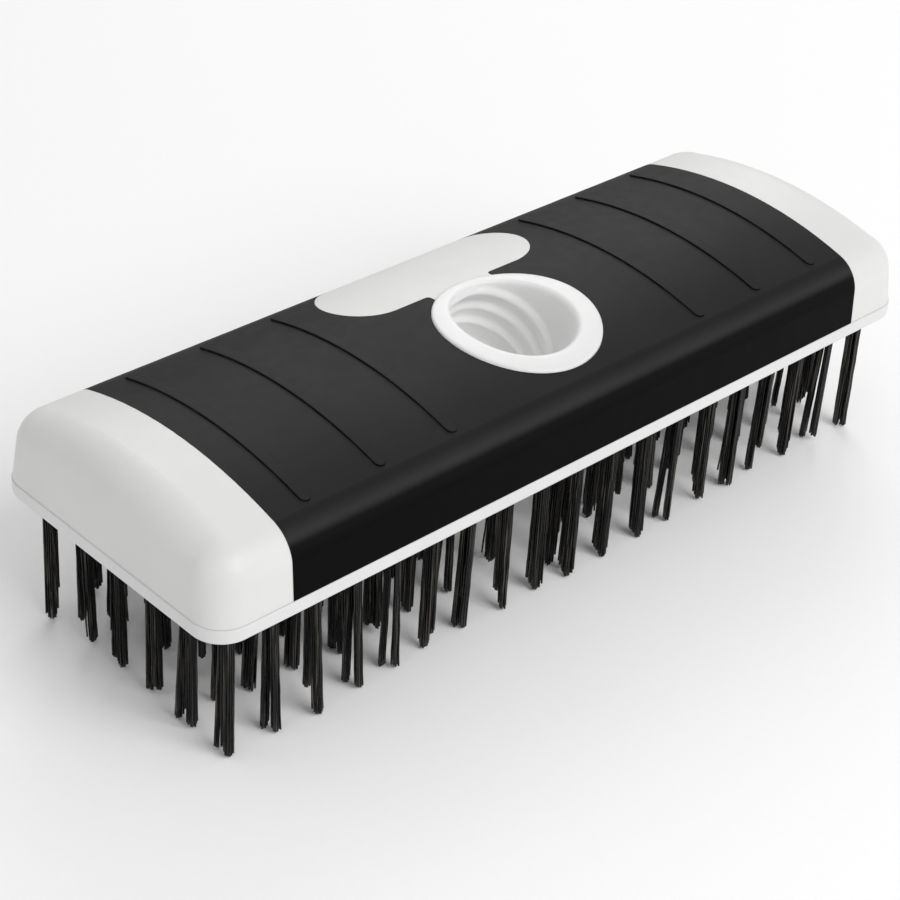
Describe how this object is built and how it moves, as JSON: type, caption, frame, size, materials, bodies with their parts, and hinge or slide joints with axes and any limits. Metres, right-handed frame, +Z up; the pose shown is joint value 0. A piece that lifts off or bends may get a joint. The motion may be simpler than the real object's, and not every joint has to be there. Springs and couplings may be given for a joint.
{
  "type": "pool wall brush",
  "caption": "Pool wall brush head: crowned white block with a black ribbed grip, a tilted threaded pole socket and rows of stiff dark bristle tufts.",
  "frame": {"origin": "middle of the brush, on the plane that the bristle tips rest on", "axes": "+X along the block, +Z up from the bristle tips to the crowned back, -Y the side that the pole socket leans to"},
  "size_m": [0.203, 0.0702, 0.0549],
  "materials": {
    "white_shell": "satin moulded polypropylene",
    "white_plate": "satin moulded polypropylene",
    "white_socket": "smooth moulded plastic",
    "black_grip": "fine matt soft-touch elastomer",
    "bristle": "drawn nylon monofilament",
    "screw_steel": "stainless steel",
    "anchor_wire": "flat stainless wire"
  },
  "bodies": {
    "root": {"top_shell": "white_shell", "grip_overmould": "black_grip", "socket_insert": "white_socket", "base_plate": "white_plate", "assembly_screws": "screw_steel", "tuft_row_1": "bristle", "tuft_row_2": "bristle", "tuft_row_3": "bristle", "tuft_row_4": "bristle", "tuft_row_5": "bristle", "tuft_row_6": "bristle", "anchor_row_1": "anchor_wire", "anchor_row_2": "anchor_wire", "anchor_row_3": "anchor_wire", "anchor_row_4": "anchor_wire", "anchor_row_5": "anchor_wire", "anchor_row_6": "anchor_wire"}
  },
  "joints": []
}
